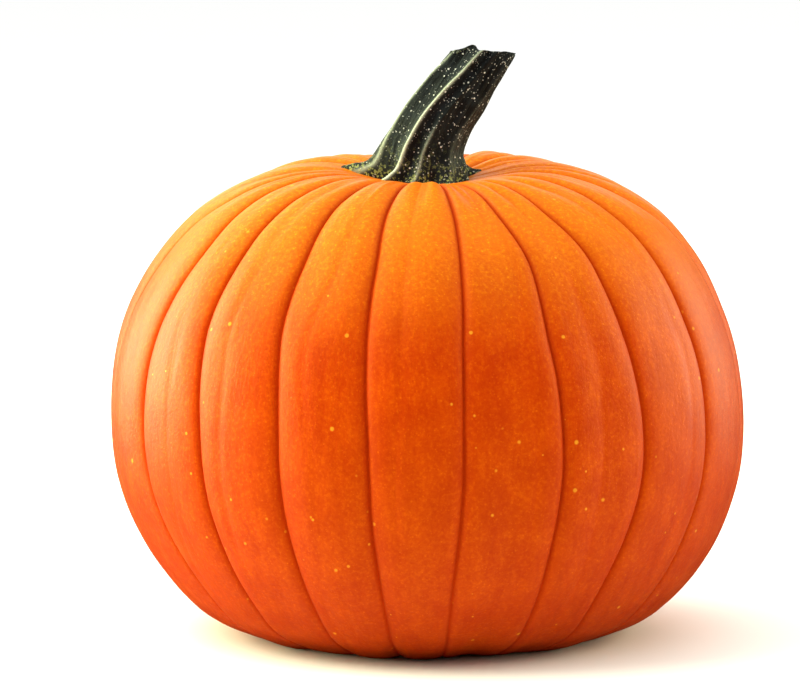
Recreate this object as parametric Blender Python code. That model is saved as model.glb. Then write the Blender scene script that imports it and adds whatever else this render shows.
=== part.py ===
"""A ribbed orange pumpkin as picked, with its cut stem, resting on a small flat spot.

Metres, +Z up. The origin is the middle of the outline seen from above, on the surface that it stands on.
Directions round the upright axis are in degrees from the front, -Y, and grow towards the right, +X.
"""

import math
import random

import bpy
import numpy as np
from mathutils import Vector

MM = 0.001

# The turned profile of the fruit's crowns, as (radius, height) in millimetres from stem end to blossom end
PROFILE = (
    (0, 192.5), (13, 193), (27, 196), (42, 198.8), (60, 197.8), (81, 190.8), (102, 176.3), (120, 153),
    (131.5, 124.5), (135, 94), (132, 64), (120.5, 36), (101.5, 13), (82, 2.5), (68, -1), (54, -1),
    (38, 3.5), (19, 8), (0, 9.5),
)
PROFILE_ROWS = 38
PROFILE_STEPS = 24
STEM_END_ROWS = 13
TOP_SLOPE = 0.04
TOP_SLOPE_FROM = 120 * MM
TOP_SLOPE_TO = 200 * MM

# How far the fruit leans to the right at each height, as (height, lean) in millimetres
LEAN = ((0, 1.2), (25, 1.4), (68, 0.5), (100, 0), (140, -0.7), (175, 0.4), (205, 0.4))

# Where the grooves run, from the left round the front to the right and round the back, and how far the rib
# after each groove swells in millimetres
GROOVES = (
    -82, -62.5, -45.5, -28, -11, 6.5, 24.5, 41.5, 60.5, 82,
    101, 120, 140, 160, 176.5, 192.5, 208.5, 226, 243.5, 260.5,
)
CROWNS = (
    0, 0.3, 0, 0.4, 0, -1.8, -1.2, -0.4, 0, 0.3,
    -0.2, 0.4, 0.9, -1.6, -0.6, -1.2, 0.2, 0.6, -0.3, 0.2,
)
GROOVE_WANDER = 1.1
WANDER_WAVES = 0.75
RIB_STATIONS = (0.0, 0.07, 0.24, 0.5, 0.76, 0.93)

# How far the skin drops from a rib's crown to its groove
PILLOW_DEPTH = 2.3 * MM
PILLOW_POWER = 2.4
CREASE_DEPTH = 1.5 * MM
CREASE_REACH = 2.4 * MM
FOOT_RELIEF = 0.45
FOOT_RELIEF_BELOW = 60 * MM
RELIEF_FROM_RADIUS = 9 * MM
RELIEF_FULL_RADIUS = 55 * MM

# The stem's centreline above the stem end, and its thickness without ridges
STEM_LINE = (
    (-1.5, 0, -6), (-1.2, 0, 4), (-0.4, 0, 14), (3.8, 0.5, 25), (10.2, 1, 35), (18, 1.5, 46), (26, 2, 57),
)
STEM_RADII = (15.5, 14.8, 13.4, 12.6, 12.0, 11.0, 11.3)
STEM_ROWS = 20
STEM_STEPS = 12
STEM_COLUMNS = 48
STEM_CUT_LEVEL = 55 * MM
STEM_CUT_SLOPE = (-0.05, -0.16)
HORN_DIRECTION = -84
HORN_HEIGHT = 3.1 * MM
HORN_HALF_WIDTH = 22.0
STEM_TWIST = 22.0
PITH_RADIUS = 0.45
PITH_DEPTH = 2.5 * MM

# Ridges as (direction, height, reach of the foot) in degrees and millimetres, and half their width in degrees
RIDGES = (
    (-84, 2.0, 6), (-38, 2.4, 9), (2, 1.2, 5), (42, 1.6, 6), (86, 2.4, 6),
    (130, 2.2, 6), (178, 1.4, 6), (228, 2.3, 10),
)
RIDGE_HALF_WIDTH = 17.0
FOOT_HALF_WIDTH = 12.75
FOOT_HEIGHT = 6 * MM

# Long spurs of the foot as (direction, reach, fall): they reach out so far up to the spur level, and each
# fall above it, in millimetres, takes off two thirds
SPURS = ((-105, 26, 5), (118, 10.5, 3))
SPUR_LEVEL = 4 * MM
STEM_GAP = 0.3 * MM

SEED = 20
SKIN_ORANGE = (0.78, 0.16, 0.01, 1.0)
STEM_GREEN = (0.03, 0.04, 0.025, 1.0)


def material(name, colour, roughness):
    """A plain Principled material."""
    made = bpy.data.materials.new(name)
    made.use_nodes = True
    shader = made.node_tree.nodes["Principled BSDF"]
    shader.inputs["Base Color"].default_value = colour
    shader.inputs["Roughness"].default_value = roughness
    shader.inputs["Metallic"].default_value = 0.0
    return made


def smoothstep(low, high, value):
    """0 below low, 1 above high and a soft S between them."""
    share = np.clip((value - low) / (high - low), 0.0, 1.0)
    return share * share * (3.0 - 2.0 * share)


def curve_through(points, steps):
    """A Catmull-Rom curve through the points, with this many steps from each to the next."""
    points = np.array(points, float)
    ends = (2 * points[0] - points[1], 2 * points[-1] - points[-2])
    padded = np.vstack([ends[0], points, ends[1]])
    share = np.linspace(0.0, 1.0, steps, endpoint=False)[:, None]
    curve = []
    for a, b, c, d in zip(padded, padded[1:], padded[2:], padded[3:]):
        slope_b, slope_c = (c - a) / 2, (d - b) / 2
        cube = 2 * b - 2 * c + slope_b + slope_c
        square = -3 * b + 3 * c - 2 * slope_b - slope_c
        curve.append(((cube * share + square) * share + slope_b) * share + b)
    return np.vstack([*curve, points[-1:]])


def evenly_along(curve, count):
    """Points evenly spaced along a curve, both ends included."""
    steps = np.linalg.norm(np.diff(curve, axis=0), axis=1)
    length = np.concatenate([[0.0], np.cumsum(steps)])
    wanted = np.linspace(0.0, length[-1], count)
    return np.stack([np.interp(wanted, length, axis) for axis in curve.T], axis=1)


def mirrored_profile():
    """The profile with one more point across the axis at each end, so that it meets the axis level."""
    first, last = PROFILE[1], PROFILE[-2]
    return ((-first[0], first[1]), *PROFILE, (-last[0], last[1]))


class Fruit:
    """The ribbed surface of the fruit, as heights and radii over directions round the axis."""

    def __init__(self):
        draw = random.Random(SEED)
        curve = curve_through(mirrored_profile(), PROFILE_STEPS)[PROFILE_STEPS:-PROFILE_STEPS]
        self.profile = evenly_along(curve * MM, PROFILE_ROWS + 1)
        self.profile[[0, -1], 0] = 0.0
        self.wander = [
            (draw.uniform(-1, 1) * GROOVE_WANDER, draw.uniform(0, math.tau)) for _ in GROOVES
        ]
        self.middle = Vector()
        places = np.array([point for ring in self.rings(range(1, PROFILE_ROWS)) for point in ring])
        self.middle = Vector((*(places.min(axis=0) + places.max(axis=0))[:2] / 2, 0))

    def normals(self):
        """The outward normal of the profile at each row, as (radial, upward) parts."""
        along = np.gradient(self.profile, axis=0)
        across = np.stack([-along[:, 1], along[:, 0]], axis=1)
        return across / np.linalg.norm(across, axis=1)[:, None]

    @staticmethod
    def lean(height):
        """How far the fruit leans to the right at this height."""
        levels, leans = np.array(LEAN).T * MM
        return float(np.interp(height, levels, leans))

    def groove_direction(self, rib, share):
        """Where groove number rib runs at this share of the way down, in degrees."""
        turns, groove = divmod(rib, len(GROOVES))
        size, phase = self.wander[groove]
        return GROOVES[groove] + 360 * turns + size * math.sin(math.tau * WANDER_WAVES * share + phase)

    def point(self, rib, station, row, lift=0.0):
        """The place on the skin at a station across a rib and a row of the profile, lifted off it by lift."""
        share = row / PROFILE_ROWS
        left, right = self.groove_direction(rib, share), self.groove_direction(rib + 1, share)
        direction = math.radians(left + (right - left) * station)
        radius, height = self.profile[row]
        out, up = self.normals()[row]
        half_width = math.radians(right - left) / 2 * radius
        from_groove = 1.0 - abs(2 * station - 1.0)
        fade = smoothstep(RELIEF_FROM_RADIUS, RELIEF_FULL_RADIUS, radius)
        depth = FOOT_RELIEF + (1 - FOOT_RELIEF) * smoothstep(0.0, FOOT_RELIEF_BELOW, height)
        drop = PILLOW_DEPTH * (1.0 - from_groove) ** PILLOW_POWER
        drop += CREASE_DEPTH * math.exp(-from_groove * half_width / CREASE_REACH)
        crown = CROWNS[rib] * MM * math.sin(math.pi * station) ** 2
        offset = lift + fade * (crown - depth * drop)
        radius += out * offset
        height += up * offset
        x, y = radius * math.sin(direction), -radius * math.cos(direction)
        x += self.lean(height)
        height += TOP_SLOPE * y * smoothstep(TOP_SLOPE_FROM, TOP_SLOPE_TO, height)
        return Vector((x, y, height if lift else max(height, 0.0))) - self.middle

    def tip(self, row, lift=0.0):
        """The place on the fruit's axis at the height of this row, moved up by lift."""
        height = self.profile[row][1]
        return Vector((self.lean(height), 0, height + lift)) - self.middle

    def rings(self, rows, lift=0.0):
        """Closed rings of points, one for each of these rows."""
        return [
            [
                self.point(rib, station, row, lift)
                for rib in range(len(GROOVES))
                for station in RIB_STATIONS
            ]
            for row in rows
        ]


def skinned(name, rings, first_tip, last_tip):
    """A closed mesh object over rings of points, with a fan of faces to a tip at each end."""
    columns = len(rings[0])
    points = [first_tip, *(point for ring in rings for point in ring), last_tip]
    start = [1 + columns * i for i in range(len(rings))]
    faces = []
    for i in range(columns):
        j = (i + 1) % columns
        faces.append((0, start[0] + i, start[0] + j))
        for a, b in zip(start, start[1:]):
            faces.append((a + i, b + i, b + j, a + j))
        faces.append((start[-1] + i, len(points) - 1, start[-1] + j))
    mesh = bpy.data.meshes.new(name)
    mesh.from_pydata(points, [], faces)
    mesh.shade_smooth()
    made = bpy.data.objects.new(name, mesh)
    bpy.context.scene.collection.objects.link(made)
    return made


def make_fruit(fruit):
    """The fruit, one solid from the stem end's hollow to the blossom end."""
    rings = fruit.rings(range(1, PROFILE_ROWS))
    made = skinned("fruit", rings, fruit.tip(0), fruit.tip(-1))
    made.data.materials.append(material("pumpkin_skin", SKIN_ORANGE, 0.45))
    return made


def make_fruit_top_cutter(fruit):
    """The fruit's top a little larger all over, to cut the stem's foot to it."""
    rings = fruit.rings(range(1, STEM_END_ROWS), lift=STEM_GAP)
    made = skinned("fruit_top_cutter", rings, fruit.tip(0, STEM_GAP), fruit.tip(STEM_END_ROWS))
    made.hide_render = True
    made.display_type = "WIRE"
    return made


def bell(direction, place, half_width):
    """1 where the direction is the place, falling off on both sides of it over half the width, in degrees."""
    apart = abs((direction - place + 180) % 360 - 180)
    return math.exp(-((apart / half_width) ** 2))


def ridge_shape(direction, above):
    """How far ridges and spurs stand out of the stem in this direction, this high above its base."""
    foot = math.exp(-max(above, 0.0) / FOOT_HEIGHT)
    total = 0.0
    for place, height, reach in RIDGES:
        total += height * bell(direction, place, RIDGE_HALF_WIDTH)
        total += reach * foot * bell(direction, place, FOOT_HALF_WIDTH)
    for place, reach, fall in SPURS:
        rise = max(above - SPUR_LEVEL, 0.0) / (fall * MM)
        total += reach * math.exp(-rise) * bell(direction, place, FOOT_HALF_WIDTH)
    return total * MM


def make_stem(fruit, cutter):
    """The cut stem: a leaning, ridged and slightly twisted stalk whose ridges spread into feet."""
    base = fruit.tip(0)
    line = evenly_along(curve_through(STEM_LINE, STEM_STEPS) * MM, STEM_ROWS)
    radii = np.interp(np.linspace(0, 1, STEM_ROWS), np.linspace(0, 1, len(STEM_RADII)), STEM_RADII) * MM
    slopes = np.gradient(line, axis=0)
    rings = []
    for row, (centre, slope, radius) in enumerate(zip(line, slopes, radii)):
        share = row / (STEM_ROWS - 1)
        up = Vector(slope).normalized()
        side = Vector((0, 1, 0)).cross(up).normalized()
        ahead = side.cross(up)
        ring = []
        for column in range(STEM_COLUMNS):
            direction = 360 * column / STEM_COLUMNS
            out = radius + ridge_shape(direction - STEM_TWIST * share, centre[2])
            turn = math.radians(direction)
            ring.append(base + Vector(centre) + side * out * math.sin(turn) + ahead * out * math.cos(turn))
        rings.append(ring)
    cut = [
        level_with_cut(point, base, 360 * column / STEM_COLUMNS - STEM_TWIST)
        for column, point in enumerate(rings[-1])
    ]
    middle = sum(cut, Vector()) / len(cut)
    pith = [middle.lerp(point, PITH_RADIUS) - Vector((0, 0, PITH_DEPTH)) for point in cut]
    rings = [ring[::-1] for ring in (pith, cut, *rings[-2::-1])]
    made = skinned("stem", rings, middle - Vector((0, 0, PITH_DEPTH)), base + Vector(line[0]))
    made.data.materials.append(material("stem_rind", STEM_GREEN, 0.6))
    trim = made.modifiers.new("seat_on_fruit", "BOOLEAN")
    trim.operation = "DIFFERENCE"
    trim.solver = "EXACT"
    trim.object = cutter
    return made


def level_with_cut(point, base, direction):
    """The point moved up or down to the slanting cut, which leaves a small horn on one ridge."""
    slope_x, slope_y = STEM_CUT_SLOPE
    reach = point - base
    level = STEM_CUT_LEVEL + slope_x * (reach.x - STEM_LINE[-1][0] * MM) + slope_y * reach.y
    level += HORN_HEIGHT * bell(direction, HORN_DIRECTION, HORN_HALF_WIDTH)
    return Vector((point.x, point.y, base.z + level))


def main():
    """Clears the scene and builds the pumpkin."""
    for old in list(bpy.data.objects):
        bpy.data.objects.remove(old)
    fruit = Fruit()
    make_fruit(fruit)
    make_stem(fruit, make_fruit_top_cutter(fruit))


main()
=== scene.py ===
"""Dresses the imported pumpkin: a ribbed orange fruit and its cut stem, in a pale studio.

Metres, +Z up. The fruit stands on z = 0 with its stem end up. Directions round its axis are in degrees
from the front, -Y, and grow towards the right, +X.
"""

from __future__ import annotations

import itertools
import logging
import math
import random
from collections.abc import Mapping, Sequence
from dataclasses import dataclass
from enum import Enum

import bpy
import numpy as np
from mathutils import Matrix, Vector
from mathutils.bvhtree import BVHTree

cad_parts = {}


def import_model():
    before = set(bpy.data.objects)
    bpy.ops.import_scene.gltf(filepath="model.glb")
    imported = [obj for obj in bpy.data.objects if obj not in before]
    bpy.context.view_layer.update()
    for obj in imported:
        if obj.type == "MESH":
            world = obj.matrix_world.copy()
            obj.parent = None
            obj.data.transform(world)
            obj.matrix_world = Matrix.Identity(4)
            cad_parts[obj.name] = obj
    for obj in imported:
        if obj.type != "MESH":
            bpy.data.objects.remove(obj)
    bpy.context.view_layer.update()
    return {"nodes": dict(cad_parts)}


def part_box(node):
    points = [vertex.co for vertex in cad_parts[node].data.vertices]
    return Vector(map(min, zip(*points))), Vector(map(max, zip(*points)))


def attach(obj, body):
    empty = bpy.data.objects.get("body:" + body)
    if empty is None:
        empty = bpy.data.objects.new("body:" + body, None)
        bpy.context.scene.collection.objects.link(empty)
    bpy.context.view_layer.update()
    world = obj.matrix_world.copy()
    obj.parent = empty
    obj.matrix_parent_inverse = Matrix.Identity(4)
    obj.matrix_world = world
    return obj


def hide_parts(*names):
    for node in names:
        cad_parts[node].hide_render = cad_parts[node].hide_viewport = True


LOG = logging.getLogger("pumpkin")
MM = 0.001
BODY = "root"

Colour = tuple[float, float, float]
Range = tuple[float, float]


class Place(Enum):
    """The spots on a vertex that the finishes read."""

    GROOVE = "groove"
    VALLEY = "valley"
    CREASE = "crease"
    SCAR = "scar"
    COLLAR = "collar"
    RISE = "rise"
    RIDGE = "ridge"
    FOOT = "foot"
    CUT = "cut"
    FLOW = "flow"


class Wire:
    """A number that comes out of a node, with the sums that a maker writes on it."""

    def __init__(self, graph: Graph, socket: bpy.types.NodeSocket) -> None:
        """Wraps one socket of a graph."""
        self.graph = graph
        self.socket = socket

    def _sum(self, operation: str, first: Input, second: Input) -> Wire:
        """Adds a Math node on two values."""
        return self.graph.add("ShaderNodeMath", {"operation": operation}, {0: first, 1: second})

    def __add__(self, other: Input) -> Wire:
        """self + other."""
        return self._sum("ADD", self, other)

    def __radd__(self, other: Input) -> Wire:
        """other + self."""
        return self._sum("ADD", other, self)

    def __sub__(self, other: Input) -> Wire:
        """self - other."""
        return self._sum("SUBTRACT", self, other)

    def __rsub__(self, other: Input) -> Wire:
        """other - self."""
        return self._sum("SUBTRACT", other, self)

    def __mul__(self, other: Input) -> Wire:
        """self * other."""
        return self._sum("MULTIPLY", self, other)

    def __rmul__(self, other: Input) -> Wire:
        """other * self."""
        return self._sum("MULTIPLY", other, self)


Input = Wire | float | tuple


class Graph:
    """The nodes of one material or sky, from its coordinates to its last shader."""

    def __init__(self, owner: bpy.types.Material | bpy.types.World, shader: str) -> None:
        """Starts on the nodes that a new material or sky has.

        Args:
            owner: The material or sky.
            shader: The name of its shader node.
        """
        self.owner = owner
        owner.use_nodes = True
        self.tree = owner.node_tree
        self.surface = self.tree.nodes[shader]

    @classmethod
    def for_material(cls, name: str) -> Graph:
        """Starts a material with a Principled surface."""
        return cls(bpy.data.materials.new(name), "Principled BSDF")

    def add(self, kind: str, settings: Mapping[str, object], sockets: Mapping[str | int, Input],
            output: str | int = 0) -> Wire:
        """Adds a node.

        Args:
            kind: The node's type.
            settings: The node's own settings, a ramp's stops among them, which are set first.
            sockets: Values or wires for its input sockets, by name or number.
            output: The output socket to return.

        Returns:
            The wire out of the node.
        """
        node = self.tree.nodes.new(kind)
        for name, value in settings.items():
            if name == "stops":
                self._set_stops(node.color_ramp, value)
            else:
                setattr(node, name, value)
        for name, value in sockets.items():
            self.feed(node.inputs[name], value)
        return Wire(self, node.outputs[output])

    def feed(self, socket: bpy.types.NodeSocket, value: Input) -> None:
        """Links a wire to a socket, or sets the socket's value."""
        if isinstance(value, Wire):
            self.tree.links.new(value.socket, socket)
        elif isinstance(value, tuple) and socket.type == "RGBA":
            socket.default_value = (*value, 1.0)
        else:
            socket.default_value = value

    @staticmethod
    def _set_stops(ramp: bpy.types.ColorRamp, stops: Sequence[tuple[float, Colour]]) -> None:
        """Gives a ramp its stops, each a place from 0 to 1 and a colour."""
        while len(ramp.elements) < len(stops):
            ramp.elements.new(1.0)
        for element, (place, colour) in zip(ramp.elements, stops):
            element.position = place
            element.color = (*colour, 1.0)

    def place(self, spot: Place, output: str = "Fac") -> Wire:
        """The value of one of the piece's attributes."""
        return self.add("ShaderNodeAttribute", {"attribute_name": spot.value}, {}, output)

    def where(self) -> Wire:
        """The place on the piece, in metres."""
        return self.add("ShaderNodeTexCoord", {}, {}, "Object")

    def noise(self, vector: Wire, size: float, detail: float = 2.0, rough: float = 0.5) -> Wire:
        """Soft noise round 0.5.

        Args:
            vector: Where to read it.
            size: How far apart its lumps are, in metres.
            detail: How many finer layers it has.
            rough: How strong the finer layers are.

        Returns:
            The noise.
        """
        sockets = {"Vector": vector, "Scale": 1.0 / size, "Detail": detail, "Roughness": rough}
        return self.add("ShaderNodeTexNoise", {}, sockets)

    def ease(self, value: Wire, low: float, high: float) -> Wire:
        """0 where the value is below low, 1 above high, a soft S between them; low may be the larger."""
        sockets = {"Value": value, "From Min": low, "From Max": high}
        return self.add("ShaderNodeMapRange", {"interpolation_type": "SMOOTHSTEP"}, sockets)

    def dots(self, vector: Wire, pitch: float, radius: float, share: float = 1.0) -> Wire:
        """Round soft dots scattered over the surface.

        Args:
            vector: Where to read them.
            pitch: How far apart they are, in metres.
            radius: How large the largest are, in metres.
            share: What share of the cells holds a dot.

        Returns:
            1 in the middle of a dot and 0 off it.
        """
        cell = {"Vector": vector, "Scale": 1.0 / pitch}
        distance = self.add("ShaderNodeTexVoronoi", {}, cell, "Distance")
        tint = self.add("ShaderNodeTexVoronoi", {}, cell, "Color")
        draw = self.add("ShaderNodeSeparateColor", {}, {0: tint}, "Red")
        size = self.add("ShaderNodeSeparateColor", {}, {0: tint}, "Green")
        smallest = 0.4
        reach = (size * (1.0 - smallest) + smallest) * (radius / pitch)
        inside = self.add("ShaderNodeMath", {"operation": "DIVIDE"}, {0: distance, 1: reach})
        return self.ease(inside, 1.0, 0.45) * self.ease(draw, share + 0.001, share - 0.001)

    def blend(self, share: Input, first: Input, second: Input, how: str = "MIX") -> Wire:
        """Mixes two colours.

        Args:
            share: 0 for the first, 1 for the second.
            first: The first colour.
            second: The second colour.
            how: The way they are mixed.

        Returns:
            The mixed colour.
        """
        settings = {"data_type": "RGBA", "blend_type": how, "clamp_factor": True}
        return self.add("ShaderNodeMix", settings, {0: share, 6: first, 7: second}, 2)

    def bump(self, height: Wire, depth: float, under: Wire | None = None) -> Wire:
        """A bump of this height in metres, on top of another if one is given."""
        sockets = {"Height": height, "Distance": depth, "Strength": 1.0}
        if under is not None:
            sockets["Normal"] = under
        return self.add("ShaderNodeBump", {}, sockets)

    def finish(self, varying: Mapping[str, Wire], fixed: Mapping[str, Input]) -> bpy.types.ID:
        """Feeds the shader.

        Args:
            varying: The sockets that change from place to place.
            fixed: The sockets that hold one value.

        Returns:
            The material or sky.
        """
        for name, value in {**fixed, **varying}.items():
            self.feed(self.surface.inputs[name], value)
        return self.owner


@dataclass(frozen=True)
class SkinFinish:
    """The fruit's skin: deep orange, satin, with fine pale pores, scattered pimples, painted shade in its
    grooves, valleys and creases, and a lighter top that is partly painted top light.
    """

    deep: Colour = (0.430, 0.0235, 0.0002)
    light: Colour = (0.53, 0.045, 0.0003)
    # crown: the top paler and yellower, partly the skin's own tone and partly painted top light
    crown: Colour = (0.72, 0.160, 0.0004)
    # groove and valley are painted shade: darker colours laid in the groove lines, the valleys beside them
    # and the creases
    groove: Colour = (0.38, 0.016, 0.0002)
    valley: Colour = (0.52, 0.034, 0.0002)
    pore_tint: Colour = (1.13, 1.58, 1.45)
    pit_tint: Colour = (0.94, 0.76, 0.84)
    pimple: Colour = (0.85, 0.36, 0.02)
    scar: Colour = (0.30, 0.19, 0.09)
    collar: Colour = (0.55, 0.16, 0.02)
    mottle_size: float = 16 * MM
    streak_size: float = 5 * MM
    wrinkle_size: float = 2.6 * MM
    freckle_size: float = 1.7 * MM
    grain_size: float = 0.9 * MM
    pore_pitch: float = 1.5 * MM
    pore_radius: float = 0.55 * MM
    pore_share: float = 0.7
    pimple_pitch: float = 8.5 * MM
    pimple_radius: float = 1.25 * MM
    pimple_share: float = 0.55
    tone_range: Range = (0.30, 0.70)
    crown_range: Range = (0.66, 1.04)
    pit_range: Range = (0.52, 0.34)
    fleck_range: Range = (0.52, 0.70)
    grain_range: Range = (0.35, 0.75)
    # how strongly the painted shade is laid in the valleys, creases and groove lines
    valley_shade_strength: float = 0.6
    crease_strength: float = 0.35
    groove_shade_strength: float = 0.85
    fleck_strength: float = 0.75
    grain_strength: float = 0.45
    pimple_strength: float = 0.60
    collar_strength: float = 0.5
    roughness: float = 0.45
    groove_roughness: float = 0.75
    valley_roughening: float = 0.15
    scar_roughening: float = 0.4
    gloss: float = 0.35
    gloss_tint: Colour = (1.0, 0.5, 0.05)
    pore_relief: float = 0.10 * MM
    wrinkle_relief: float = 0.12 * MM

    def make(self) -> bpy.types.Material:
        """Builds the material."""
        graph = Graph.for_material("satin_skin")
        where = graph.where()
        flow = graph.place(Place.FLOW, "Vector")
        mottle = graph.noise(where, self.mottle_size, detail=3.0, rough=0.55)
        streak = graph.noise(flow, self.streak_size, detail=3.0, rough=0.6)
        grain = graph.noise(where, self.grain_size, rough=0.6)
        freckle = graph.noise(where, self.freckle_size, rough=0.6)
        pores = graph.dots(where, self.pore_pitch, self.pore_radius, self.pore_share)
        pimples = graph.dots(where, self.pimple_pitch, self.pimple_radius, self.pimple_share)
        groove, valley = graph.place(Place.GROOVE), graph.place(Place.VALLEY)
        crease, scar = graph.place(Place.CREASE), graph.place(Place.SCAR)
        open_skin = 1.0 - groove

        tone = graph.ease(mottle * 0.55 + streak * 0.45, *self.tone_range)
        skin = graph.blend(tone, self.deep, self.light)
        # lighter, yellower top by height: partly the skin's own tone, partly painted top light
        skin = graph.blend(graph.ease(graph.place(Place.RISE), *self.crown_range), skin, self.crown)
        # painted shade: darker colour in the valleys beside the grooves, along the creases and in the
        # groove lines
        skin = graph.blend(valley * self.valley_shade_strength, skin, self.valley)
        skin = graph.blend(crease * self.crease_strength, skin, self.valley)
        skin = graph.blend(groove * self.groove_shade_strength, skin, self.groove)
        pits = graph.ease(freckle, *self.pit_range) * self.fleck_strength
        skin = graph.blend(pits, skin, self.pit_tint, "MULTIPLY")
        flecks = graph.ease(freckle, *self.fleck_range) * open_skin * self.fleck_strength
        grains = graph.ease(grain, *self.grain_range) * self.grain_strength
        for pale in (flecks, pores * open_skin, grains):
            skin = graph.blend(pale, skin, self.pore_tint, "MULTIPLY")
        skin = graph.blend(pimples * open_skin * self.pimple_strength, skin, self.pimple)
        skin = graph.blend(graph.place(Place.COLLAR) * self.collar_strength, skin, self.collar)
        skin = graph.blend(scar, skin, self.scar)

        rough = self.roughness + groove * (self.groove_roughness - self.roughness)
        rough = rough + valley * self.valley_roughening + scar * self.scar_roughening
        rough = rough + (grain - 0.5) * 0.20
        normal = graph.bump(pimples * 0.5 - pores * 0.35 + grain * 0.35, self.pore_relief)
        wrinkles = graph.noise(flow, self.wrinkle_size, detail=3.0, rough=0.6)
        normal = graph.bump(wrinkles + freckle, self.wrinkle_relief, normal)
        return graph.finish(
            {"Base Color": skin, "Roughness": rough, "Normal": normal},
            {"Specular IOR Level": self.gloss, "Specular Tint": self.gloss_tint},
        )


@dataclass(frozen=True)
class StemFinish:
    """The stem's rind: a green that looks black, with pale specks, painted highlights along its ridge
    crests and a mossy foot.
    """

    rind: Colour = (0.0025, 0.0030, 0.0040)
    green: Colour = (0.009, 0.0125, 0.016)
    # painted highlight colour along the ridge crests
    crest_highlight: Colour = (0.72, 0.76, 0.56)
    speck: Colour = (0.74, 0.70, 0.62)
    moss: Colour = (0.52, 0.54, 0.14)
    cork: Colour = (0.20, 0.16, 0.09)
    pith: Colour = (0.08, 0.06, 0.035)
    fibre_size: float = 1.6 * MM
    patch_size: float = 7 * MM
    blotch_size: float = 1.5 * MM
    grain_size: float = 0.8 * MM
    speck_pitch: float = 1.15 * MM
    speck_radius: float = 0.40 * MM
    speck_share: float = 0.8
    big_speck_pitch: float = 2.1 * MM
    big_speck_radius: float = 0.6 * MM
    big_speck_share: float = 0.65
    green_range: Range = (0.40, 0.66)
    crest_highlight_range: Range = (0.20, 0.50)
    speck_range: Range = (0.38, 0.56)
    moss_range: Range = (0.52, 0.60)
    cork_range: Range = (0.35, 0.65)
    speck_strength: float = 0.75
    big_speck_strength: float = 0.9
    moss_strength: float = 0.85
    roughness: float = 0.62
    cut_roughening: float = 0.25
    gloss: float = 0.2
    grain_relief: float = 0.35 * MM
    fibre_relief: float = 0.6 * MM

    def make(self) -> bpy.types.Material:
        """Builds the material."""
        graph = Graph.for_material("woody_rind")
        where = graph.where()
        cut = graph.place(Place.CUT)
        fibres = graph.noise(graph.place(Place.FLOW, "Vector"), self.fibre_size, detail=4.0, rough=0.65)
        patches = graph.noise(where, self.patch_size, detail=3.0, rough=0.6)
        grain = graph.noise(where, self.grain_size, detail=3.0, rough=0.65)
        blotch = graph.noise(where, self.blotch_size, rough=0.6)
        specks = graph.dots(where, self.speck_pitch, self.speck_radius, self.speck_share)
        big_specks = graph.dots(where, self.big_speck_pitch, self.big_speck_radius, self.big_speck_share)

        tone = graph.ease(patches * 0.5 + fibres * 0.5, *self.green_range)
        rind = graph.blend(tone, self.rind, self.green)
        # painted highlight along the ridge crests
        rind = graph.blend(graph.place(Place.RIDGE) * graph.ease(grain, *self.crest_highlight_range), rind, self.crest_highlight)
        clustered = specks * self.speck_strength * graph.ease(patches, *self.speck_range)
        rind = graph.blend(clustered, rind, self.speck)
        rind = graph.blend(big_specks * self.big_speck_strength, rind, self.speck)
        moss = graph.place(Place.FOOT) * graph.ease(blotch * 0.75 + patches * 0.25, *self.moss_range)
        rind = graph.blend(moss * self.moss_strength, rind, self.moss)
        cork = graph.blend(graph.ease(grain, *self.cork_range), self.pith, self.cork)
        rind = graph.blend(cut, rind, cork)

        normal = graph.bump(grain * 0.6 + specks * 0.5 + big_specks * 0.6, self.grain_relief)
        normal = graph.bump(fibres, self.fibre_relief, normal)
        rough = self.roughness + (grain - 0.5) * 0.3 + cut * self.cut_roughening
        return graph.finish(
            {"Base Color": rind, "Roughness": rough, "Normal": normal}, {"Specular IOR Level": self.gloss},
        )


@dataclass(frozen=True)
class FloorFinish:
    """A plain pale studio floor."""

    colour: Colour = (0.90, 0.90, 0.90)
    roughness: float = 0.9

    def make(self) -> bpy.types.Material:
        """Builds the material."""
        graph = Graph.for_material("studio_floor")
        fixed = {"Base Color": self.colour, "Roughness": self.roughness, "Specular IOR Level": 0.0}
        return graph.finish({}, fixed)


def smoothstep(low: float, high: float, value: np.ndarray) -> np.ndarray:
    """0 below low, 1 above high and a soft S between them."""
    share = np.clip((value - low) / (high - low), 0.0, 1.0)
    return share * share * (3.0 - 2.0 * share)


def bell(value: np.ndarray, width: float | np.ndarray) -> np.ndarray:
    """1 at zero, falling off evenly on both sides over the width."""
    return np.exp(-np.square(value / width))


def angle_between(first: np.ndarray, second: np.ndarray | float) -> np.ndarray:
    """The smaller angle between two directions in degrees."""
    return np.abs((first - second + 180.0) % 360.0 - 180.0)


def curve_through(points: Sequence[Sequence[float]], steps: int) -> np.ndarray:
    """A Catmull-Rom curve through points.

    Args:
        points: The points that the curve passes.
        steps: How many steps it takes from each to the next.

    Returns:
        The curve's points, one row each.
    """
    knots = np.array(points, float)
    padded = np.vstack([2 * knots[0] - knots[1], knots, 2 * knots[-1] - knots[-2]])
    share = np.linspace(0.0, 1.0, steps, endpoint=False)[:, None]
    runs = []
    for a, b, c, d in zip(padded, padded[1:], padded[2:], padded[3:]):
        slope_b, slope_c = (c - a) / 2, (d - b) / 2
        cube = 2 * b - 2 * c + slope_b + slope_c
        square = -3 * b + 3 * c - 2 * slope_b - slope_c
        runs.append(((cube * share + square) * share + slope_b) * share + b)
    return np.vstack([*runs, knots[-1:]])


def evenly_along(curve: np.ndarray, count: int) -> np.ndarray:
    """Points evenly spaced along a curve, both its ends included."""
    steps = np.linalg.norm(np.diff(curve, axis=0), axis=1)
    length = np.concatenate([[0.0], np.cumsum(steps)])
    wanted = np.linspace(0.0, length[-1], count)
    return np.stack([np.interp(wanted, length, axis) for axis in curve.T], axis=1)


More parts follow.
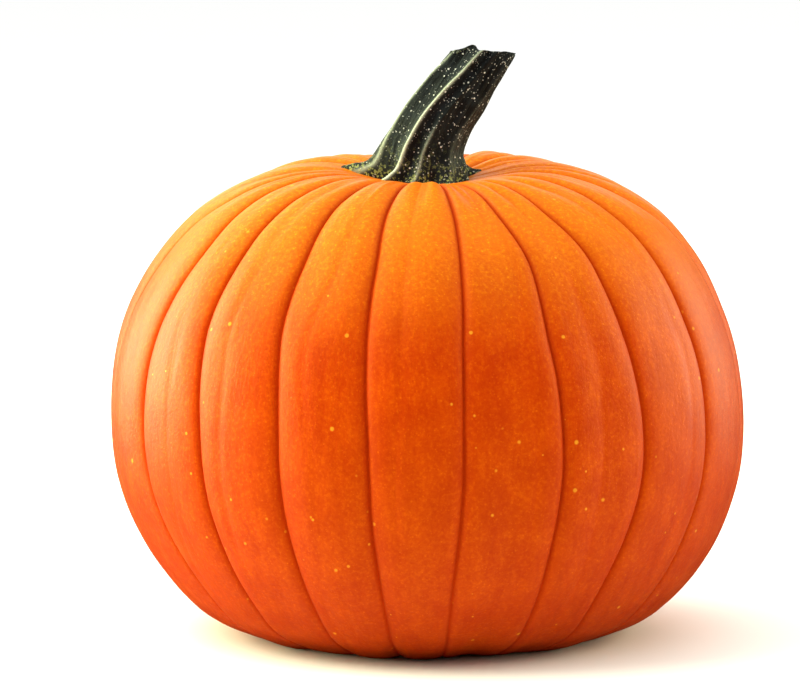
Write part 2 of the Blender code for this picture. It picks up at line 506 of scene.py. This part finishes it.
def lumps(places: np.ndarray, size: float, seed: int) -> np.ndarray:
    """Smooth noise from -1 to 1.

    Args:
        places: Where to read it, one place a row, in metres.
        size: How far apart its lumps are, in metres.
        seed: Picks one noise from many.

    Returns:
        One number for each place.
    """
    side = 64
    lattice = np.random.default_rng(seed).uniform(-1.0, 1.0, (side, side, side))
    cell = np.floor(places / size).astype(int)
    part = places / size - cell
    part = part * part * (3.0 - 2.0 * part)
    total = np.zeros(len(places))
    for corner in itertools.product((0, 1), repeat=3):
        weight = np.prod(np.where(corner, part, 1.0 - part), axis=1)
        total += weight * lattice[tuple(((cell + corner) % side).T)]
    return total


def vertex_places(piece: bpy.types.Object) -> np.ndarray:
    """The places of a piece's vertices, one row each."""
    places = np.empty(len(piece.data.vertices) * 3)
    piece.data.vertices.foreach_get("co", places)
    return places.reshape(-1, 3)


def move_vertices(piece: bpy.types.Object, places: np.ndarray) -> None:
    """Moves a piece's vertices to these places."""
    piece.data.vertices.foreach_set("co", places.astype(np.float32).ravel())
    piece.data.update()


def mark(piece: bpy.types.Object, spot: Place, values: np.ndarray) -> None:
    """Stores one number or one vector for each vertex, for the finish to read."""
    if values.ndim == 2:
        layer = piece.data.attributes.new(spot.value, "FLOAT_VECTOR", "POINT")
        layer.data.foreach_set("vector", values.astype(np.float32).ravel())
    else:
        layer = piece.data.attributes.new(spot.value, "FLOAT", "POINT")
        layer.data.foreach_set("value", values.astype(np.float32))


def hand_over(piece: bpy.types.Object, finish: bpy.types.Material, node: str) -> None:
    """Gives a piece its finish and its place in the frame.

    Args:
        piece: The finished piece.
        finish: Its material.
        node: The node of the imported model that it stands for.
    """
    piece.data.materials.clear()
    piece.data.materials.append(finish)
    bpy.ops.object.select_all(action="DESELECT")
    piece.select_set(True)
    bpy.context.view_layer.objects.active = piece
    bpy.ops.object.shade_smooth()
    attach(piece, BODY)
    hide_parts(node)
    LOG.info("%s: %d vertices, %d faces", piece.name, len(piece.data.vertices), len(piece.data.polygons))


@dataclass(frozen=True)
class Crease:
    """A soft line down a rib, at five heights from the stem end to the blossom end.

    Places are shares of the rib's width from its left groove; strengths are shares of the full depth.
    """

    places: tuple[float, ...] = (0.5, 0.5, 0.5, 0.5, 0.5)
    strengths: tuple[float, ...] = (1.0, 0.3, 0.1, 0.0, 0.0)


@dataclass
class Fruit:
    """The ribbed fruit: a ball whose rows are laid down the profile and whose columns follow the ribs.

    The profile holds radii and heights and the lean holds heights and shifts, both in millimetres. Crowns
    are how far the ribs stand out, in millimetres. A front groove has a direction at each groove height.
    """

    profile: tuple[tuple[float, float], ...] = (
        (0, 192.5), (13, 193), (27, 196), (42, 198.8), (60, 197.8), (81, 190.8), (102, 176.3), (120, 153),
        (131.5, 124.5), (135, 94), (132, 64), (120.5, 36), (101.5, 13), (82, 2.5), (68, -1), (54, -1),
        (38, 3.5), (19, 8), (0, 9.5),
    )
    lean: tuple[tuple[float, float], ...] = (
        (0, 1.2), (25, 1.4), (68, 0.5), (100, 0), (140, -0.7), (175, 0.4), (205, 0.4),
    )
    top_slope: float = 0.04
    top_slope_heights: Range = (120 * MM, 200 * MM)
    rows: int = 170
    stations: int = 28
    station_crowding: float = 0.8
    profile_steps: int = 60
    flow_radius: float = 135 * MM
    flow_length: float = 108 * MM

    groove_heights: tuple[float, ...] = (0.19, 0.3, 0.5, 0.72)
    front_grooves: tuple[tuple[float, ...], ...] = (
        (-78.5, -82.5, -83, -79.5), (-65, -62, -63.5, -57), (-48.5, -47.5, -45.5, -42),
        (-31, -29.5, -27.8, -25.5), (-13.2, -12, -10.7, -9.8), (7.6, 7.2, 6.2, 4), (20.8, 23.8, 24.6, 22),
        (36.5, 40, 42.2, 37), (61, 60.5, 61, 56), (80, 84, 83, 77.5),
    )
    back_grooves: tuple[float, ...] = (101, 120, 140, 160, 176.5, 192.5, 208.5, 226, 243.5, 260.5)
    back_wander: float = 1.0
    groove_waver: float = 0.25
    waver_size: float = 32 * MM
    groove_length: float = 0.43
    crowns: tuple[float, ...] = (
        0, 0.3, 0, 0.4, 0, -1.8, -1.2, -0.4, 0, 0.3, -0.2, 0.4, 0.9, -1.6, -0.6, -1.2, 0.2, 0.6, -0.3, 0.2,
    )
    seed: int = 20

    crease_heights: tuple[float, ...] = (0.14, 0.28, 0.42, 0.54, 0.66)
    front_creases: tuple[Crease, ...] = (
        Crease((0.5, 0.5, 0.5, 0.5, 0.5), (0.8, 0.1, 0.0, 0.0, 0.0)),
        Crease((0.5, 0.5, 0.58, 0.55, 0.32), (0.8, 0.2, 0.7, 0.9, 0.5)),
        Crease((0.5, 0.45, 0.38, 0.31, 0.30), (0.9, 0.5, 0.9, 0.8, 0.6)),
        Crease((0.6, 0.52, 0.32, 0.45, 0.5), (1.0, 0.9, 0.5, 0.3, 0.0)),
        Crease((0.45, 0.36, 0.36, 0.29, 0.30), (1.0, 0.7, 0.8, 0.6, 0.2)),
        Crease((0.6, 0.74, 0.67, 0.72, 0.69), (1.0, 0.5, 0.9, 1.0, 0.6)),
        Crease((0.5, 0.5, 0.48, 0.43, 0.50), (1.0, 0.4, 0.8, 0.7, 0.6)),
        Crease((0.5, 0.66, 0.71, 0.66, 0.6), (1.0, 0.6, 0.8, 0.7, 0.5)),
        Crease((0.5, 0.5, 0.5, 0.5, 0.5), (0.8, 0.3, 0.1, 0.1, 0.0)),
    )

    pillow_depth: float = 1.2 * MM
    pillow_power: float = 2.4
    shoulder_depth: float = 1.5 * MM
    shoulder_reach: float = 2.7 * MM
    line_depth: float = 0.75 * MM
    line_reach: float = 0.9 * MM
    foot_relief: float = 0.45
    foot_relief_below: float = 60 * MM
    relief_radii: Range = (9 * MM, 55 * MM)
    fold_depth: float = 1.3 * MM
    fold_radii: Range = (95 * MM, 45 * MM)
    fold_share: float = 0.16
    crease_depth: float = 0.45 * MM
    crease_reach: float = 2.2 * MM
    crease_wander: float = 1.6 * MM
    crease_wander_size: float = 14 * MM
    crease_patch_size: float = 9 * MM
    swell: float = 0.40 * MM
    swell_size: float = 12 * MM
    small_swell: float = 0.14 * MM
    small_swell_size: float = 5 * MM
    valley_reach: float = 3.2 * MM
    scar_radius: float = 9 * MM
    collar_radius: float = 26 * MM

    @property
    def ribs(self) -> int:
        """How many ribs the fruit has."""
        return len(self.front_grooves) + len(self.back_grooves)

    def turned_profile(self) -> np.ndarray:
        """The profile's radius and height at each row, in metres."""
        first, last = self.profile[1], self.profile[-2]
        mirrored = ((-first[0], first[1]), *self.profile, (-last[0], last[1]))
        steps = self.profile_steps
        rows = evenly_along(curve_through(mirrored, steps)[steps:-steps] * MM, self.rows + 1)
        rows[[0, -1], 0] = 0.0
        return rows

    def groove_directions(self, draw: random.Random) -> np.ndarray:
        """Where the grooves run.

        Args:
            draw: The source of the back grooves' wander.

        Returns:
            Directions in degrees: a row for each row of the profile and a column for each groove, with the
            first groove again at the end.
        """
        grooves = [list(groove) for groove in self.front_grooves]
        for middle in self.back_grooves:
            shifts = [draw.uniform(-self.back_wander, self.back_wander) for _ in range(3)]
            grooves.append([middle + shifts[0], middle + shifts[1], middle, middle + shifts[2]])
        grooves.append([direction + 360 for direction in grooves[0]])
        share = np.linspace(0.0, 1.0, self.rows + 1)
        tracks = []
        for number, groove in enumerate(grooves):
            along = np.zeros((len(share), 3))
            along[:, 0] = share * self.groove_length
            along[:, 1] = number % self.ribs
            waver = self.groove_waver * lumps(along, self.waver_size, seed=9)
            tracks.append(self._smooth_track(share, self.groove_heights, groove) + waver)
        return np.stack(tracks, axis=1)

    @staticmethod
    def _smooth_track(share: np.ndarray, knots: Sequence[float], values: Sequence[float]) -> np.ndarray:
        """A value that eases from each knot's to the next one's."""
        track = np.full_like(share, values[0])
        for low, high, before, after in zip(knots, knots[1:], values, values[1:]):
            track += (after - before) * smoothstep(low, high, share)
        return track

    def crease_tracks(self) -> tuple[np.ndarray, np.ndarray]:
        """The creases' places across their ribs and their strengths, a row of the profile each."""
        draw = random.Random(self.seed + 1)
        creases = list(self.front_creases)
        while len(creases) < self.ribs:
            middle = draw.uniform(0.3, 0.7)
            parts = (0.3, 0.5, 1.0, 1.0, 0.75)
            places = tuple(0.5 + (middle - 0.5) * part + draw.uniform(-0.06, 0.06) for part in parts)
            strengths = (draw.uniform(0.7, 1.0), *(draw.uniform(0.0, 0.8) for _ in range(4)))
            creases.append(Crease(places, strengths))
        share = np.linspace(0.0, 1.0, self.rows + 1)
        heights = self.crease_heights
        places = [self._smooth_track(share, heights, crease.places) for crease in creases]
        strengths = [self._smooth_track(share, heights, crease.strengths) for crease in creases]
        return np.stack(places, axis=1), np.stack(strengths, axis=1)

    def build(self) -> bpy.types.Object:
        """Models the fruit and dresses it.

        Returns:
            The finished piece.
        """
        columns = self.ribs * self.stations
        piece = self.turn_ball(columns)
        ball = vertex_places(piece)
        down = np.arccos(np.clip(ball[:, 2], -1.0, 1.0))
        around = np.arctan2(ball[:, 0], -ball[:, 1])
        row = np.rint(down / math.pi * self.rows).astype(int)
        column = np.rint(around / math.tau * columns).astype(int) % columns
        places, marks = self.shape(row, column)
        move_vertices(piece, places)
        for spot, values in marks.items():
            mark(piece, spot, values)
        hand_over(piece, SkinFinish().make(), "fruit")
        return piece

    def turn_ball(self, columns: int) -> bpy.types.Object:
        """Turns half a circle round the axis.

        Args:
            columns: How many steps the turn takes.

        Returns:
            A closed ball of radius 1, with its poles on the axis.
        """
        bpy.ops.object.select_all(action="DESELECT")
        upright = (math.pi / 2, 0, 0)
        bpy.ops.mesh.primitive_circle_add(vertices=2 * self.rows, radius=1.0, rotation=upright)
        piece = bpy.context.active_object
        piece.name = piece.data.name = "pumpkin_fruit"
        bpy.ops.object.transform_apply(rotation=True)
        bpy.ops.object.mode_set(mode="EDIT")
        bpy.ops.mesh.select_mode(type="VERT")
        bpy.ops.mesh.select_all(action="DESELECT")
        bpy.ops.object.mode_set(mode="OBJECT")
        for vertex in piece.data.vertices:
            vertex.select = vertex.co.x < -MM
        bpy.ops.object.mode_set(mode="EDIT")
        bpy.ops.mesh.delete(type="VERT")
        bpy.ops.object.mode_set(mode="OBJECT")
        turn = piece.modifiers.new("turn", "SCREW")
        turn.axis, turn.angle = "Z", math.tau
        turn.steps = turn.render_steps = columns
        turn.use_merge_vertices = True
        bpy.ops.object.modifier_apply(modifier=turn.name)
        bpy.ops.object.mode_set(mode="EDIT")
        bpy.ops.mesh.select_all(action="SELECT")
        bpy.ops.mesh.remove_doubles(threshold=0.01 * MM)
        bpy.ops.mesh.normals_make_consistent(inside=False)
        bpy.ops.object.mode_set(mode="OBJECT")
        return piece

    def shape(self, row: np.ndarray, column: np.ndarray) -> tuple[np.ndarray, dict[Place, np.ndarray]]:
        """Works out where each vertex goes.

        Args:
            row: Each vertex's row down the profile.
            column: Each vertex's column round the fruit.

        Returns:
            The vertices' places, and the marks that the finish reads.
        """
        grooves = self.groove_directions(random.Random(self.seed))
        profile = self.turned_profile()
        crease_places, crease_strengths = self.crease_tracks()

        rib = column // self.stations
        even = (column % self.stations) / self.stations
        station = even - self.station_crowding * np.sin(4 * np.pi * even) / (4 * np.pi)
        crease = crease_places[row, rib]
        across = np.where(station < 0.5, station * 2 * crease, crease + (station - 0.5) * 2 * (1 - crease))
        left, right = grooves[row, rib], grooves[row, rib + 1]
        direction = np.radians(left + (right - left) * across)
        radius, height = profile[row].T
        width = np.radians(right - left) * radius
        from_groove = 1.0 - np.abs(2 * across - 1.0)
        off_groove = from_groove * width / 2
        sine, cosine = np.sin(direction), np.cos(direction)
        down = row / self.rows * self.flow_length
        flow = np.stack([self.flow_radius * sine, -self.flow_radius * cosine, down], axis=1)
        wander = self.crease_wander * lumps(flow, self.crease_wander_size, seed=7)
        off_crease = np.abs(across - crease) * width + wander

        fade = smoothstep(*self.relief_radii, radius)
        depth = self.foot_relief + (1 - self.foot_relief) * smoothstep(0.0, self.foot_relief_below, height)
        groove_line = bell(off_groove, self.line_reach)
        drop = self.pillow_depth * (1.0 - from_groove) ** self.pillow_power
        drop += self.shoulder_depth * np.exp(-off_groove / self.shoulder_reach)
        drop += self.line_depth * groove_line
        near_stem = smoothstep(*self.fold_radii, radius) * (height > profile[:, 1].mean())
        strength = crease_strengths[row, rib] * (0.75 + 0.5 * lumps(flow, self.crease_patch_size, seed=8))
        crease_line = strength * bell(off_crease, self.crease_reach)
        fold_reach = self.fold_share * width + 0.3 * MM
        drop += self.fold_depth * near_stem * strength * bell(off_crease, fold_reach)
        drop += self.crease_depth * crease_line
        rise = np.array(self.crowns)[rib] * MM * np.sin(np.pi * across) ** 2
        rise += self.swell * lumps(flow, self.swell_size, seed=1)
        rise += self.small_swell * lumps(flow, self.small_swell_size, seed=2)
        offset = fade * (rise - depth * drop)

        along = np.gradient(profile, axis=0)
        out = np.stack([-along[:, 1], along[:, 0]], axis=1)
        out /= np.linalg.norm(out, axis=1)[:, None]
        radius = radius + out[row, 0] * offset
        height = height + out[row, 1] * offset
        levels, leans = np.array(self.lean).T * MM
        x = radius * sine + np.interp(height, levels, leans)
        y = -radius * cosine
        height = height + self.top_slope * y * smoothstep(*self.top_slope_heights, height)
        places = self.fit_to_frame(np.stack([x, y, np.maximum(height, 0.0)], axis=1))

        upper = height > profile[:, 1].mean()
        scar = 1.0 - smoothstep(0.7 * self.scar_radius, self.scar_radius, radius)
        collar = 1.0 - smoothstep(0.6 * self.collar_radius, self.collar_radius, radius)
        # GROOVE, VALLEY and CREASE also set where the skin's colour carries painted shade
        marks = {
            Place.GROOVE: groove_line * fade,
            Place.VALLEY: np.exp(-off_groove / self.valley_reach) * fade,
            Place.CREASE: crease_line * fade,
            Place.SCAR: np.where(upper, 0.0, scar),
            Place.COLLAR: np.where(upper, collar, 0.0),
            # RISE sets the lighter top, partly the skin's own tone and partly painted top light
            Place.RISE: height / profile[:, 1].max(),
            Place.FLOW: flow,
        }
        return places, marks

    @staticmethod
    def fit_to_frame(places: np.ndarray) -> np.ndarray:
        """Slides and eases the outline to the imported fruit's, a fraction of a millimetre."""
        low, high = (np.array(corner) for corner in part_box("fruit"))
        mine_low, mine_high = places.min(axis=0), places.max(axis=0)
        scale = (high - low)[:2] / (mine_high - mine_low)[:2]
        placed = places.copy()
        placed[:, :2] = low[:2] + (places[:, :2] - mine_low[:2]) * scale
        return placed


@dataclass(frozen=True)
class Ridge:
    """A ridge that runs up the stem.

    Direction is in degrees from the front, height in millimetres, and half the width in degrees. Reach is
    how far its foot spreads over the fruit, in millimetres. Crest highlight is how strong the painted
    highlight along its crest is, up to a share of the stem's height.
    """

    direction: float
    height: float
    half_width: float
    reach: float
    crest_highlight: float
    crest_highlight_to: float = 1.2


@dataclass(frozen=True)
class Spur:
    """A long spur of the stem's foot.

    It reaches out so many millimetres near the fruit, and each fall above it takes off two thirds.
    """

    direction: float
    reach: float
    fall: float


@dataclass
class Stem:
    """The cut stem, shaped from a many-sided post that follows a leaning line.

    The line and the radii along it are in millimetres, directions, half widths and twists in degrees.
    """

    base_height: float = 192.5 * MM
    line: tuple[tuple[float, float, float], ...] = (
        (-1.5, 0, -6), (-1.2, 0, 4), (-0.4, 0, 14), (3.8, 0.5, 25), (10.2, 1, 35), (18, 1.5, 46),
        (25.6, 2, 57),
    )
    line_steps: int = 24
    radii: tuple[float, ...] = (15.5, 14.8, 13.2, 12.4, 11.8, 10.6, 9.8)
    # the fifth number of each ridge is the strength of the painted highlight along its crest, the sixth how
    # far up the stem it reaches
    ridges: tuple[Ridge, ...] = (
        Ridge(-84, 3.2, 13, 6, 0.5), Ridge(-38, 3.4, 8, 9, 1.0), Ridge(-11, 1.5, 9, 5, 0.35, 0.5),
        Ridge(34, 1.8, 20, 6, 0.05), Ridge(82, 2.4, 17, 2, 0.1), Ridge(130, 2.2, 17, 4, 0.3),
        Ridge(178, 1.4, 17, 6, 0.2), Ridge(228, 2.3, 16, 10, 0.4),
    )
    spurs: tuple[Spur, ...] = (Spur(-98, 17.5, 8), Spur(125, 12, 4))
    spur_level: float = 1.2 * MM
    ridge_power: float = 1.5
    foot_half_width: float = 13.0
    spur_half_width: float = 12.75
    columns: int = 288
    rows: int = 150
    cap_rings: int = 14
    twist: float = 22.0
    top_twist: float = 11.0
    foot_twist: float = 7.0
    foot_height: float = 6 * MM
    moss_height: float = 5 * MM
    hug_height: float = 9 * MM
    cut_level: float = 55 * MM
    cut_slope: tuple[float, float] = (-0.05, -0.16)
    horn_direction: float = -66.0
    horn_height: float = 2.6 * MM
    horn_half_width: float = 11.0
    horn_lean: float = 0.4
    notch_direction: float = -112.0
    notch_depth: float = 4.6 * MM
    notch_half_width: float = 27.0
    torn_turn: float = 30.0
    torn_half_width: float = 24.0
    crest_half_width: float = 2.1
    pith_share: float = 0.62
    pith_depth: float = 2.5 * MM
    sink: float = 0.6 * MM
    flow_radius: float = 12 * MM
    flow_squash: float = 0.16
    bark: tuple[Range, ...] = ((0.22 * MM, 1.5 * MM), (0.16 * MM, 0.7 * MM))
    cut_jag: Range = (0.35 * MM, 2.5 * MM)
    pith_crumb: Range = (0.5 * MM, 1.6 * MM)

    def build(self, fruit: bpy.types.Object) -> bpy.types.Object:
        """Models the stem on the fruit and dresses it.

        Args:
            fruit: The finished fruit that the stem stands on.

        Returns:
            The finished piece.
        """
        bpy.ops.object.select_all(action="DESELECT")
        bpy.ops.mesh.primitive_cylinder_add(vertices=self.columns, depth=1.0, location=(0, 0, 0.5))
        piece = bpy.context.active_object
        piece.name = piece.data.name = "pumpkin_stem"
        bpy.ops.object.transform_apply(location=True)
        bpy.ops.object.mode_set(mode="EDIT")
        bpy.ops.mesh.select_mode(type="FACE")
        bpy.ops.mesh.select_all(action="DESELECT")
        bpy.ops.object.mode_set(mode="OBJECT")
        for face in piece.data.polygons:
            face.select = face.normal.z > 0.5
        bpy.ops.object.mode_set(mode="EDIT")
        for _ in range(self.rows - 1):
            bpy.ops.mesh.extrude_region_move(TRANSFORM_OT_translate={"value": (0, 0, 1.0)})
        for _ in range(self.cap_rings):
            bpy.ops.mesh.inset(thickness=1.0 / (self.cap_rings + 1))
        bpy.ops.mesh.poke()
        bpy.ops.object.mode_set(mode="OBJECT")
        places, marks = self.shape(vertex_places(piece), fruit)
        move_vertices(piece, places)
        for spot, values in marks.items():
            mark(piece, spot, values)
        hand_over(piece, StemFinish().make(), "stem")
        return piece

    def relief(self, direction: np.ndarray, above: np.ndarray) -> tuple[np.ndarray, np.ndarray]:
        """How the ridges and spurs shape the stem.

        Args:
            direction: Directions round the stem, untwisted, in degrees.
            above: Heights above the stem's base, in metres.

        Returns:
            How far the ridges stand out, in metres, and how strong the painted highlight along their crests
            is.
        """
        foot = np.exp(-above / self.foot_height)
        out = np.zeros_like(direction)
        crest_highlight = np.zeros_like(direction)
        for ridge in self.ridges:
            apart = angle_between(direction, ridge.direction)
            out += ridge.height * MM * np.exp(-np.power(apart / ridge.half_width, self.ridge_power))
            out += ridge.reach * MM * bell(apart, self.foot_half_width) * foot
            # painted highlight along each crest, fading out towards its share of the stem's height
            fading = smoothstep(0.6 * ridge.crest_highlight_to, ridge.crest_highlight_to, above / self.cut_level)
            crest_highlight = np.maximum(crest_highlight, ridge.crest_highlight * (1.0 - fading) * bell(apart, self.crest_half_width))
        for spur in self.spurs:
            rise = np.maximum(above - self.spur_level, 0.0) / (spur.fall * MM)
            apart = angle_between(direction, spur.direction)
            out += spur.reach * MM * np.exp(-rise) * bell(apart, self.spur_half_width)
        return out, crest_highlight

    def shape(
        self, post: np.ndarray, fruit: bpy.types.Object,
    ) -> tuple[np.ndarray, dict[Place, np.ndarray]]:
        """Works out where each vertex of the post goes.

        Args:
            post: The vertices' places on the post: a unit radius and a unit step for each row.
            fruit: The fruit that the stem stands on.

        Returns:
            The vertices' places, and the marks that the finish reads.
        """
        low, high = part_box("fruit")
        base = np.array([(low.x + high.x) / 2, (low.y + high.y) / 2, self.base_height])
        centres = evenly_along(curve_through(self.line, self.line_steps) * MM, self.rows + 1)
        slopes = np.gradient(centres, axis=0)
        slopes /= np.linalg.norm(slopes, axis=1)[:, None]
        sides = np.cross(np.array([0.0, 1.0, 0.0]), slopes)
        sides /= np.linalg.norm(sides, axis=1)[:, None]
        aheads = np.cross(sides, slopes)
        knots = np.linspace(0, 1, len(self.radii))
        radii = np.interp(np.linspace(0, 1, self.rows + 1), knots, self.radii) * MM

        row = np.rint(post[:, 2]).astype(int)
        inward = np.clip(np.hypot(post[:, 0], post[:, 1]), 0.0, 1.0)
        degrees = np.degrees(np.arctan2(post[:, 0], -post[:, 1]))
        share = row / self.rows
        above = np.maximum(centres[row, 2], 0.0)
        turned = self.twist * share + self.top_twist * share ** 5
        straight = degrees - turned + self.foot_twist * np.exp(-above / self.foot_height)
        out, crest_highlight = self.relief(straight, above)
        rim = radii[row] + out
        turn = np.radians(degrees)
        spread = rim[:, None] * (sides[row] * np.sin(turn)[:, None] + aheads[row] * np.cos(turn)[:, None])
        around = self.flow_radius * np.stack([np.sin(turn), np.cos(turn)], axis=1)
        flow = np.column_stack([around, above * self.flow_squash])
        layers = enumerate(self.bark, start=3)
        rough = sum(depth * lumps(flow, size, seed) for seed, (depth, size) in layers)
        wall = base + centres[row] + spread * (1 + rough / rim)[:, None]

        hug = np.exp(-above / self.hug_height)
        tree = BVHTree.FromObject(fruit, bpy.context.evaluated_depsgraph_get())
        skin = np.array([self._skin_height(tree, place) for place in wall])
        wall[:, 2] += hug * (skin - base[2] - self.sink)

        off_tip = wall[:, 0] - base[0] - self.line[-1][0] * MM
        level = base[2] + self.cut_level + self.cut_slope[0] * off_tip
        level = level + self.cut_slope[1] * (wall[:, 1] - base[1])
        off_horn = angle_between(straight, self.horn_direction)
        horn = self.horn_height * bell(off_horn, self.horn_half_width)
        off_notch = angle_between(straight, self.notch_direction)
        level -= self.notch_depth * bell(off_notch, self.notch_half_width)
        jag, jag_size = self.cut_jag
        rise = level + jag * lumps(flow, jag_size, seed=5) - wall[:, 2]
        top_share = smoothstep(0.80, 1.0, share)
        slope = slopes[row]
        wall[:, 0] += top_share * (rise * slope[:, 0] / slope[:, 2] + horn * self.horn_lean)
        wall[:, 2] += top_share * (rise + horn)

        is_rim = inward > 0.999
        is_cap = (row == self.rows) & ~is_rim
        middle = wall[(row == self.rows) & is_rim].mean(axis=0)
        cap = middle + (wall - middle) * inward[:, None]
        off_torn = angle_between(straight, self.notch_direction + self.torn_turn)
        torn = bell(off_torn, self.torn_half_width) * smoothstep(0.94, 1.0, share)
        dish = smoothstep(1.0, self.pith_share, inward)
        crumb, crumb_size = self.pith_crumb
        cap[:, 2] += (crumb * lumps(cap, crumb_size, seed=6) - self.pith_depth) * dish
        places = np.where(is_cap[:, None], cap, wall)
        marks = {
            # painted highlight along the ridge crests, weaker higher up
            Place.RIDGE: crest_highlight * (1 - 0.3 * share),
            Place.FOOT: np.maximum(np.exp(-above / self.moss_height), torn),
            Place.CUT: smoothstep(0.995, 0.90, inward) * is_cap,
            Place.FLOW: flow,
        }
        return places, marks

    @staticmethod
    def _skin_height(tree: BVHTree, place: np.ndarray) -> float:
        """The height of the fruit's skin above or below a place."""
        well_above = Vector((place[0], place[1], 0.4))
        return tree.ray_cast(well_above, Vector((0, 0, -1)))[0].z


@dataclass(frozen=True)
class Softbox:
    """A soft square light that points at the fruit.

    Direction and height are in degrees from the front and above level, and power is in watts. The colour
    is the tint of its cloth. Distance and size are in metres.
    """

    name: str
    direction: float
    height: float
    power: float
    colour: Colour = (1.0, 1.0, 1.0)
    distance: float = 1.6
    size: float = 1.0
    aim_height: float = 0.1

    def hang(self) -> None:
        """Adds the light."""
        turn, rise = math.radians(self.direction), math.radians(self.height)
        away = Vector((math.sin(turn) * math.cos(rise), -math.cos(turn) * math.cos(rise), math.sin(rise)))
        place = away * self.distance + Vector((0.0, 0.0, self.aim_height))
        bpy.ops.object.light_add(type="AREA", location=place)
        lamp = bpy.context.active_object
        lamp.name = lamp.data.name = f"light_{self.name}"
        lamp.data.shape = "SQUARE"
        lamp.data.size = self.size
        lamp.data.energy = self.power
        lamp.data.color = self.colour
        lamp.rotation_euler = away.to_track_quat("Z", "Y").to_euler()
        lamp.visible_camera = False


@dataclass
class Studio:
    """The floor, the lights and the camera.

    The camera stands where the photo was taken from. The middle pixel is where the fruit's axis shows at
    the middle height, and the photo holds so many pixels per metre there.
    """

    softboxes: tuple[Softbox, ...] = (
        Softbox("left", -120, 12, 31.0, (0.88, 1.0, 0.62)),
        Softbox("left_front", -92, 14, 38.0, (0.85, 1.0, 0.58)),
        Softbox("left_back", -145, 33, 6.0, (0.93, 1.0, 0.70)),
        Softbox("left_high", -68, 52, 19.0, (0.93, 1.0, 0.75)),
        Softbox("back", 180, 12, 5.0),
        Softbox("right", 120, 12, 13.0, (0.92, 1.0, 0.68)),
        Softbox("right_front", 88, 18, 14.0, (0.92, 1.0, 0.62)),
    )
    overhead: float = 2.15
    floor_size: float = 60.0

    photo_width: float = 800.0
    photo_height: float = 696.0
    sensor: float = 36.0
    distance: float = 2.5
    elevation: float = 7.5
    pixels_per_metre: float = 2341.0
    middle_height: float = 0.1
    middle_pixel: tuple[float, float] = (427.6, 397.1)

    def build(self) -> None:
        """Sets up the whole studio."""
        self.build_floor()
        self.build_lights()
        self.build_camera()

    def build_floor(self) -> None:
        """Lays a wide pale floor."""
        bpy.ops.object.select_all(action="DESELECT")
        bpy.ops.mesh.primitive_plane_add(size=self.floor_size)
        floor = bpy.context.active_object
        floor.name = floor.data.name = "studio_floor"
        floor.data.materials.append(FloorFinish().make())
        floor.visible_glossy = False

    def build_lights(self) -> None:
        """Hangs the soft lights and sets the sky."""
        for softbox in self.softboxes:
            softbox.hang()
        graph = Graph(bpy.data.worlds.new("studio_sky"), "Background")
        where = graph.add("ShaderNodeTexCoord", {}, {}, "Generated")
        up = graph.add("ShaderNodeSeparateXYZ", {}, {0: where}, "Z")
        up = graph.add("ShaderNodeMath", {"operation": "MAXIMUM"}, {0: up, 1: 0.0})
        sky = graph.finish({"Strength": up * up * self.overhead}, {"Color": (1.0, 1.0, 1.0)})
        bpy.context.scene.world = sky
        sky.cycles_visibility.glossy = False
        bpy.context.scene.view_settings.view_transform = "Standard"

    def build_camera(self) -> None:
        """Sets the camera where the photo was taken from."""
        rise = math.radians(self.elevation)
        right = (self.photo_width / 2 - self.middle_pixel[0]) / self.pixels_per_metre
        up = (self.middle_pixel[1] - self.photo_height / 2) / self.pixels_per_metre
        back = Vector((0.0, -math.cos(rise), math.sin(rise)))
        above = Vector((0.0, math.sin(rise), math.cos(rise)))
        aim = Vector((right, 0.0, self.middle_height)) + above * up
        bpy.ops.object.camera_add(location=aim + back * self.distance)
        camera = bpy.context.active_object
        camera.name = camera.data.name = "camera"
        camera.rotation_euler = (-back).to_track_quat("-Z", "Y").to_euler()
        camera.data.sensor_width = self.sensor
        camera.data.lens = self.pixels_per_metre * self.distance / self.photo_width * self.sensor
        camera.data.clip_end = 2 * self.floor_size
        bpy.context.scene.camera = camera


def main() -> None:
    """Builds the pumpkin and its studio, piece by piece."""
    logging.basicConfig(level=logging.INFO, format="%(name)s: %(message)s")
    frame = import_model()
    LOG.info("frame holds %s", sorted(frame["nodes"]))
    Studio().build()
    fruit = Fruit().build()
    Stem().build(fruit)


if __name__ == "__main__":
    main()
